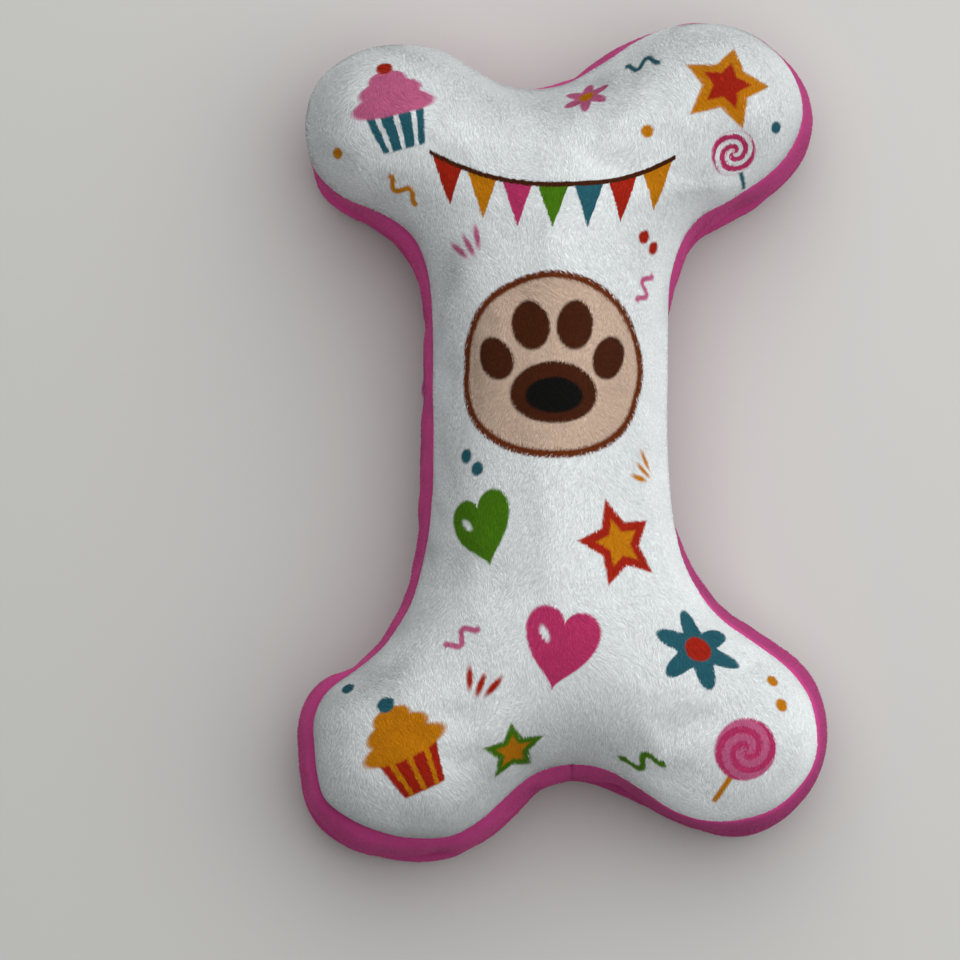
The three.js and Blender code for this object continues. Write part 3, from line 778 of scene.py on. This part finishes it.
def stuffed(points, faces):        # cloth simulation: the bag is blown out against its held seams
    mesh = bpy.data.meshes.new("bag")
    mesh.from_pydata([tuple(p) for p in points], [], [f for side in faces.values() for f in side])
    bag = meshObject("bag", mesh)
    count = rows * columns
    held = [*edge, *bagLoop(cover["bandRings"])]
    held += [count + n for n in range(count) if points[count + n][2] < cover["restBand"]]
    group = bag.vertex_groups.new(name="held")
    group.add(sorted(set(held)), 1.0, "REPLACE")
    cloth = bag.modifiers.new("stuffing", "CLOTH")
    for name, value in stuffing.items():
        setattr(cloth.settings, name, value)
    cloth.settings.vertex_group_mass = "held"
    cloth.settings.effector_weights.gravity = 0
    cloth.point_cache.frame_start = 1
    cloth.point_cache.frame_end = cover["frames"]
    for number in range(1, cover["frames"] + 1):
        bpy.context.scene.frame_set(number)
    done = settled(bag, "bag_done")
    moved = coordinates(done.data) - points
    bpy.context.scene.frame_set(1)
    discard(done)
    discard(bag)
    far = np.linalg.norm(moved, axis=1)
    print("stuffing moved the cloth by up to", round(far.max() / mm, 1), "mm")
    return points + moved * np.minimum(1, cover["mostMove"] / np.maximum(far, tiny))[:, None]


def flatPattern():        # where each point of the front lay on the cloth before it was stuffed, in mm
    depth = np.linspace(0, cover["crownReach"], cover["flatSteps"])
    height = slackRise * roundedRise(depth / cover["crownReach"])
    steps = np.hypot(np.diff(depth), np.diff(height)) - np.diff(depth)
    spare = np.concatenate([np.cumsum(steps[::-1])[::-1], [0]])
    extra = np.interp(rimDistance, depth, spare)
    return (plan + rimOut * extra[:, None]) / mm


def pileTrim():        # the pile is short where it is caught in a seam
    fromSeams = np.array([min(frontSeam - ring[0, 2], abs(ring[0, 2] - backSeam)) for ring in rings])
    underSeam = rimDistance + cover["lipDrop"][-1]
    distance = np.concatenate([rimDistance, underSeam, np.repeat(fromSeams, len(edge))])
    return np.clip(distance / cover["trimReach"], cover["trimLeast"], 1)


def paintedShadingTone():        # painted shade and light near the seams and round the band, from the two tables, fading out inward
    share = np.clip(rimDistance / cover["paintedShadingReach"], 0, 1)
    inside = share * share * (3 - 2 * share)
    white, pink = [roundTheToy(name) for name in ("paintedRimShading", "paintedBandShading")]
    front, back = [1 + (rim[nearestStation] - 1) * (1 - inside) for rim in (white, pink)]
    return np.concatenate([front, back, np.tile(pink, len(rings))])


def sheetPlaces(side):        # where each point lies on its own cloth, from 0 to 1 both ways
    if side in ("front", "back"):
        spot = np.concatenate([flatPattern(), back[:, :2] / mm, *[ring[:, :2] / mm for ring in rings]])
        spot[:len(back)] = spot[:len(back)] if side == "front" else 0
        return (spot / max(halfWidth, halfLength) * mm / cover["sheetRoom"] + 1) / 2
    start = lowerNotch if side == "right" else upperNotch
    span = (upperNotch - lowerNotch) if side == "right" else len(edge) - (upperNotch - lowerNotch)
    along = np.tile(((np.arange(len(edge)) - start) % len(edge)) / span, len(rings) + 1)
    across = np.repeat(np.arange(len(rings) + 1) / len(rings), len(edge))
    spot = np.zeros((len(bagPoints), 2))
    order = np.concatenate([bagLoop(k) for k in range(len(rings) + 1)])
    spot[order] = np.column_stack([along, across]) * (1 - 2 * cover["sheetMargin"]) + cover["sheetMargin"]
    return spot


nearestStation = ((plan[:, None] - stations[None]) ** 2).sum(2).argmin(1)
front, back, rings = bagShape()
bagPoints = np.concatenate([front, back, *rings])
faces = bagFaces()
bagPoints = stuffed(bagPoints, faces)
bagPoints[:, 2] = np.maximum(bagPoints[:, 2], 0)
print("cover stuffed:", len(bagPoints), "points")


def clothSurface(name, side):        # one cloth of the bag, as a fine open surface
    used = sorted({n for face in faces[side] for n in face})
    number = {n: k for k, n in enumerate(used)}
    mesh = bpy.data.meshes.new(name)
    mesh.from_pydata(
        [tuple(bagPoints[n]) for n in used], [], [tuple(number[n] for n in face) for face in faces[side]])
    flat, sheet = [np.zeros((len(used), 3)) for _ in range(2)]
    if side == "front":
        flat[:, :2] = flatPattern()[used]
    sheet[:, :2] = sheetPlaces(side)[used]
    ground = np.full(len(used), cover["groundTone"])
    # the pressed layer holds painted shade and light for the plush near its seams and round the band
    layers = dict(flat=flat, painted_shading=paintedShadingTone()[used], ground=ground, trim=pileTrim()[used], sheet=sheet)
    for key, values in layers.items():
        kind, field = ("FLOAT_VECTOR", "vector") if values.ndim == 2 else ("FLOAT", "value")
        mesh.attributes.new(key, kind, "POINT").data.foreach_set(field, values.ravel())
    corners = np.zeros(len(mesh.loops), dtype=int)
    mesh.loops.foreach_get("vertex_index", corners)
    mesh.uv_layers.new(name="OFBake").data.foreach_set("uv", sheet[corners, :2].ravel())
    mesh.shade_smooth()
    rough = meshObject(name + "_rough", mesh)
    fine = rough.modifiers.new("fine", "SUBSURF")
    fine.levels = fine.render_levels = 1
    surface = settled(rough, name)
    discard(rough)
    return surface


surfaces = {side: clothSurface(side + "_surface", side) for side in faces}


# Pile: leaning tufts over a cloth, each a slim three-sided spike

tuft = dict(
    sides=3, slim=0.45, stray=(-0.3, 0.3), leans=(0.95, 1.03), sizes=(0.75, 1.25), tones=(0.0, 1.0),
    swirlDetail=1.5, swirlRange=(0.3, 0.7))


def store(geometry, name, value, kind="FLOAT_VECTOR", domain="POINT"):
    return onto("GeometryNodeStoreNamedAttribute", {
        "Geometry": geometry, "Name": name, "Value": value}, data_type=kind, domain=domain)


def stored(tree, name, kind="FLOAT_VECTOR"):
    return add(tree, "GeometryNodeInputNamedAttribute", {"Name": name}, data_type=kind)


def makePile(name):
    sizes = ("Density", "Length", "Width", "Lean", "Swirl", "Swirl Size", "Blur")
    tree, given, result = newTree(name, [
        ("Cloth", "Geometry", None), *[(size, "Float", 1.0) for size in sizes], ("Nap", "Vector", None),
        ("Seed", "Int", 0), ("Yarn", "Material", None)], [("Pile", "Geometry")])

    def drawn(limits, shift):        # a random value for each tuft
        seed = calc("ADD", given["Seed"], shift)
        return onto("FunctionNodeRandomValue", {
            2: limits[0], 3: limits[1], "Seed": seed}, data_type="FLOAT").outputs[1]

    roots = onto("GeometryNodeDistributePointsOnFaces", {
        "Mesh": given["Cloth"], "Density": given["Density"], "Seed": given["Seed"]},
        distribute_method="RANDOM")
    normal = roots.outputs["Normal"]
    where = add(tree, "GeometryNodeInputPosition")
    # the nap swirls in patches, and each tuft strays and leans in its own way
    swirl = onto("ShaderNodeTexNoise", {
        "Vector": where, "Scale": calc("DIVIDE", 1.0, given["Swirl Size"]),
        "Detail": tuft["swirlDetail"]})
    angle = onto("ShaderNodeMapRange", {
        "Value": swirl, "From Min": tuft["swirlRange"][0], "From Max": tuft["swirlRange"][1],
        "To Min": calc("MULTIPLY", given["Swirl"], -1.0), "To Max": given["Swirl"]}, clamp=False)
    bearing = calc("ADD", angle, drawn(tuft["stray"], 7.0))
    nap = onto("ShaderNodeVectorRotate", {
        "Vector": given["Nap"], "Axis": normal, "Angle": bearing}, rotation_type="AXIS_ANGLE")
    rise = vector("SCALE", normal, vector("DOT_PRODUCT", nap, normal))
    along = vector("NORMALIZE", vector("SUBTRACT", nap, rise))
    tip = calc("MULTIPLY", given["Lean"], drawn(tuft["leans"], 13.0))
    upward = vector("SCALE", normal, calc("COSINE", tip))
    onward = vector("SCALE", along, calc("SINE", tip))
    turned = onto("FunctionNodeAxesToRotation", {
        "Primary Axis": vector("ADD", upward, onward), "Secondary Axis": normal},
        primary_axis="Z", secondary_axis="X")
    points = store(roots, "tone", drawn(tuft["tones"], 0.0), "FLOAT")
    points = store(points, "root", where)
    spike = onto("GeometryNodeMeshCone", {
        "Vertices": tuft["sides"], "Radius Bottom": calc("MULTIPLY", given["Width"], 0.5),
        "Depth": given["Length"]}, fill_type="NGON")
    shaped = store(spike.outputs["Mesh"], "part", where)
    size = drawn(tuft["sizes"], 29.0)
    thin = calc("MULTIPLY", size, tuft["slim"])
    long = calc("MULTIPLY", size, stored(tree, "trim", "FLOAT"))
    tufts = onto("GeometryNodeInstanceOnPoints", {
        "Points": points, "Instance": shaped, "Rotation": turned, "Scale": joined(thin, size, long)})
    solid = onto("GeometryNodeRealizeInstances", {"Geometry": tufts})
    # each tuft takes the print where it lies, a little off its place
    reach = vector("SUBTRACT", where, stored(tree, "root"))
    off = calc("MULTIPLY", calc("SUBTRACT", stored(tree, "tone", "FLOAT"), 0.5), given["Blur"])
    shifted = vector("ADD", stored(tree, "flat"), off)
    laid = vector("MULTIPLY_ADD", reach, (1 / mm, 1 / mm, 0), shifted)
    inked = store(solid, "flat", laid)
    # a place for each tuft on the map that its colours are kept on
    part = split(stored(tree, "part"))
    spot = vector(
        "MULTIPLY_ADD", joined(part[1], part[2]), (1 / cover["sheet"],) * 3, stored(tree, "sheet"))
    kept = store(inked, "OFBake", spot, "FLOAT2", "CORNER")
    for spent in ("root", "part", "sheet", "trim"):
        kept = onto("GeometryNodeRemoveAttribute", {"Geometry": kept, "Name": spent})
    faceted = onto("GeometryNodeSetShadeSmooth", {"Geometry": kept, "Shade Smooth": False})
    dressed = onto("GeometryNodeSetMaterial", {"Geometry": faceted, "Material": given["Yarn"]})
    wire(result, {0: dressed})
    return tree


frontSeeds = (11, 51, 91, 131)        # one for each layer of tufts
frontPile = {
    "Density": 1.7e6, "Length": 1.3 * mm, "Width": 0.36 * mm, "Lean": math.radians(80),
    "Nap": (0.12, -1.0, 0.0), "Swirl": 1.0, "Swirl Size": 22 * mm, "Blur": 0.5, "Yarn": printedPile}
bandPile = {
    "Density": 2.2e6, "Length": 1.2 * mm, "Width": 0.36 * mm, "Lean": math.radians(80),
    "Nap": (0.0, 0.05, -1.0), "Swirl": 0.35, "Swirl Size": 20 * mm, "Blur": 0.0, "Yarn": pinkPile, "Seed": 5}
backPile = {**bandPile, "Density": 1.5e6, "Nap": (0.1, -1.0, 0.0), "Seed": 8}


# Sewn pieces


def sewn(piece, slotName, *nodes):
    if nodes:
        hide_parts(*nodes)
    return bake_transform(piece)


def clothSolid(surface, name, material):        # the cloth with its thickness, inward from its face
    wall = surface.modifiers.new("wall", "SOLIDIFY")
    wall.thickness = cover["cloth"]
    wall.offset = -1
    wall.use_even_offset = True
    piece = settled(surface, name)
    surface.modifiers.remove(wall)
    coat(piece.data, material)
    return piece


def layPile(side, name, slotName, values):
    pile = grown(surfaces[side], pileTree, name, **values)
    sewn(pile, slotName)
    print(pile.name, len(pile.data.polygons), "faces")


pileTree = makePile("short pile")
frontCloth = clothSolid(surfaces["front"], "front_cloth", printedBacking)
sewn(frontCloth, "white_plush", "front_panel")
for number, seed in enumerate(frontSeeds):
    layPile("front", f"front_pile_{number + 1}", "white_plush", {**frontPile, "Seed": seed})
for side in ("left", "right"):
    band = clothSolid(surfaces[side], f"gusset_{side}_cloth", pinkBacking)
    sewn(band, "pink_plush", f"gusset_{side}")
    layPile(side, f"gusset_{side}_pile", "pink_plush", bandPile)
backCloth = clothSolid(surfaces["back"], "back_cloth", pinkBacking)
sewn(backCloth, "pink_plush", "back_panel")
layPile("back", "back_pile", "pink_plush", backPile)
for surface in surfaces.values():
    discard(surface)
print("cover sewn")


# What the cover holds

wad = dict(voxel=2.6 * mm, lump=9 * mm, depth=1.1 * mm, clear=3.2 * mm, enough=0.999, pushes=12)
bagTree = BVHTree.FromPolygons([tuple(p) for p in bagPoints], [f for side in faces.values() for f in side])


def insideBag(point):        # the nearest place that stays clear of the cover's inner face
    for _ in range(wad["pushes"]):        # by turns off both cloths, where they meet in a seam
        nearest, outward, _, _ = bagTree.find_nearest(point)
        if (nearest - point).dot(outward) >= wad["clear"] * wad["enough"]:
            break
        point = nearest - outward * wad["clear"]
    return point


def fibreWad(node):
    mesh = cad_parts[node].data.copy()
    bm = bmesh.new()
    bm.from_mesh(mesh)
    bmesh.ops.remove_doubles(bm, verts=bm.verts, dist=touching)
    bm.to_mesh(mesh)
    bm.free()
    rough = meshObject(node + "_rough", mesh)
    remesh = rough.modifiers.new("felted", "REMESH")
    remesh.mode = "VOXEL"
    remesh.voxel_size = wad["voxel"]
    piece = settled(rough, node + "_fibre")
    discard(rough)
    points = coordinates(piece.data)
    normals = np.array([v.normal[:] for v in piece.data.vertices])
    sunk = [wad["depth"] * (0.5 + 0.5 * noise.noise(Vector(p / wad["lump"]))) for p in points]
    points -= normals * np.array(sunk)[:, None]
    piece.data.vertices.foreach_set("co", np.array([insideBag(Vector(p)) for p in points]).ravel())
    coat(piece.data, fibre)
    piece.data.shade_smooth()
    return sewn(piece, "polyester_fibre", node)


for node in [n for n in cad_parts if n.startswith("filling_")]:
    fibreWad(node)
print("stuffing made")

bulb = dict(wall=1.2 * mm, flat=9 * mm, mouth=4.8 * mm, steps=28, segments=72)


def blownBulb():
    low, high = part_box("squeaker_bulb")
    centre = (low + high) / 2
    radius = (high.x - low.x) / 2
    half = (high.z - low.z) / 2

    def side(inset):
        turns = [math.pi * (0.5 - k / bulb["steps"]) for k in range(bulb["steps"] + 1)]
        return [(bulb["flat"] + (radius - inset - bulb["flat"]) * math.cos(t), (half - inset) * math.sin(t))
                for t in turns]

    profile = [(0, half), *side(0), (bulb["mouth"], -half), (bulb["mouth"], bulb["wall"] - half),
               *reversed(side(bulb["wall"])), (0, half - bulb["wall"])]
    bm = bmesh.new()
    line = [bm.verts.new((centre.x + r, centre.y, centre.z + z)) for r, z in profile]
    edges = [bm.edges.new(pair) for pair in zip(line, line[1:])]
    bmesh.ops.spin(bm, geom=line + edges, cent=centre, axis=(0, 0, 1), angle=2 * math.pi,
                   steps=bulb["segments"], use_merge=True)
    bmesh.ops.remove_doubles(bm, verts=bm.verts, dist=touching)
    bmesh.ops.recalc_face_normals(bm, faces=bm.faces)
    mesh = bpy.data.meshes.new("squeaker_bulb_blown")
    bm.to_mesh(mesh)
    bm.free()
    mesh.shade_smooth()
    mesh.materials.append(blownPlastic)
    return sewn(meshObject("squeaker_bulb_blown", mesh), "blown_polyethylene", "squeaker_bulb")


blownBulb()
for node in ("whistle_sleeve", "whistle_core", "reed_clamp"):
    coat(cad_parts[node].data, whistlePlastic)
coat(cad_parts["reed"].data, reedPlastic)
print("squeaker made")


# Seams

seam = dict(inset=2.8 * mm, pitch=2.6 * mm, stitch=2.2 * mm, radius=0.4 * mm, beadSides=6, beadRings=5)
ladder = dict(
    length=44 * mm, pitch=5.5 * mm, reach=1.8 * mm, proud=0.2 * mm, radius=0.4 * mm, lift=1.6,
    steps=8, sides=10)


def dressThread(result, geometry, material):
    solid = onto("GeometryNodeRealizeInstances", {"Geometry": geometry})
    smooth = onto("GeometryNodeSetShadeSmooth", {"Geometry": solid})
    wire(result, {0: onto("GeometryNodeSetMaterial", {"Geometry": smooth, "Material": material})})
    return result.id_data


def makeStitches():        # a row of lock stitches along a path
    tree, given, result = newTree("lock stitches", [
        ("Path", "Geometry", None), ("Pitch", "Float", 1.0), ("Stitch", "Float", 1.0),
        ("Radius", "Float", 1.0), ("Thread", "Material", None)], [("Stitches", "Geometry")])
    line = onto("GeometryNodeMeshToCurve", {"Mesh": given["Path"]})
    spots = onto("GeometryNodeResampleCurve", {"Curve": line, "Length": given["Pitch"]}, mode="LENGTH")
    along = onto("FunctionNodeAlignRotationToVector", {
        "Vector": add(tree, "GeometryNodeInputTangent")}, axis="Z")
    half = calc("MULTIPLY", given["Stitch"], 0.5)
    bead = add(tree, "GeometryNodeMeshUVSphere", {
        "Segments": seam["beadSides"], "Rings": seam["beadRings"], "Radius": 1.0})
    row = onto("GeometryNodeInstanceOnPoints", {
        "Points": spots, "Instance": bead.outputs["Mesh"], "Rotation": along,
        "Scale": joined(given["Radius"], given["Radius"], half)})
    return dressThread(result, row, given["Thread"])


def makeStrand():        # one thread along a path
    _, given, result = newTree("sewing strand", [
        ("Path", "Geometry", None), ("Radius", "Float", 1.0), ("Thread", "Material", None)],
        [("Strand", "Geometry")])
    line = onto("GeometryNodeMeshToCurve", {"Mesh": given["Path"]})
    ring = onto("GeometryNodeCurvePrimitiveCircle", {
        "Resolution": ladder["sides"], "Radius": given["Radius"]})
    tube = onto("GeometryNodeCurveToMesh", {
        "Curve": line, "Profile Curve": ring.outputs["Curve"], "Fill Caps": True})
    return dressThread(result, tube, given["Thread"])


def pathObject(points, closed=False):
    mesh = bpy.data.meshes.new("path")
    count = len(points)
    mesh.from_pydata(
        [tuple(p) for p in points], [(n, (n + 1) % count) for n in range(count if closed else count - 1)], [])
    return meshObject("path", mesh)


def sewAlong(name, points, node, tree, closed=False, **values):
    path = pathObject(points, closed)
    row = grown(path, tree, name, Thread=sewingThread, **values)
    discard(path)
    sewn(row, "sewing_thread", node)


def seamPath(k):        # just inside the cloth, along one loop of the bag
    inward = np.column_stack([stationOut, np.zeros(len(edge))]) * seam["inset"]
    return bagPoints[bagLoop(k)] - inward


def ladderPath():        # across the back seam and back, beside the shaft on the left
    lower = bagPoints[bagLoop(cover["bandRings"] + 1)]
    seamRing = bagPoints[bagLoop(cover["bandRings"])]
    upper = bagPoints[bagLoop(cover["bandRings"] - 1)]
    onWaist = [n for n in range(len(edge)) if stations[n, 0] < 0 and abs(stations[n, 1]) < ladder["length"]]
    onWaist.sort(key=lambda n: stations[n, 1])
    heights = stations[onWaist, 1]
    turns = round(ladder["length"] / ladder["pitch"])
    points = []
    for k in range(turns * ladder["steps"] + 1):
        y = ladder["length"] * (k / turns / ladder["steps"] - 0.5)
        swing = math.cos(math.pi * k / ladder["steps"])
        far = upper if swing > 0 else lower
        here = [np.array([np.interp(y, heights, ring[onWaist, axis]) for axis in range(3)])
                for ring in (seamRing, far)]
        step = here[1] - here[0]
        step = step / max(np.linalg.norm(step), tiny) * ladder["reach"] * abs(swing)
        out = np.array([-1, 0, 0]) * (ladder["proud"] + ladder["radius"] * (ladder["lift"] - abs(swing)))
        points.append(here[0] + step + out)
    return points


stitches = makeStitches()
rowSizes = dict(Pitch=seam["pitch"], Stitch=seam["stitch"], Radius=seam["radius"])
sewAlong("front_seam_stitches", seamPath(0), "front_seam_thread", stitches, True, **rowSizes)
sewAlong("back_seam_stitches", seamPath(cover["bandRings"]), "back_seam_thread", stitches, True, **rowSizes)
for name, notch in (("upper", upperNotch), ("lower", lowerNotch)):
    joint = [seamPath(k)[notch] for k in range(1, cover["bandRings"])]
    sewAlong(f"gusset_join_{name}_stitches", joint, f"gusset_join_{name}", stitches, **rowSizes)
sewAlong("closing_ladder_stitch", ladderPath(), "closing_stitch", makeStrand(), Radius=ladder["radius"])
print("seams made")
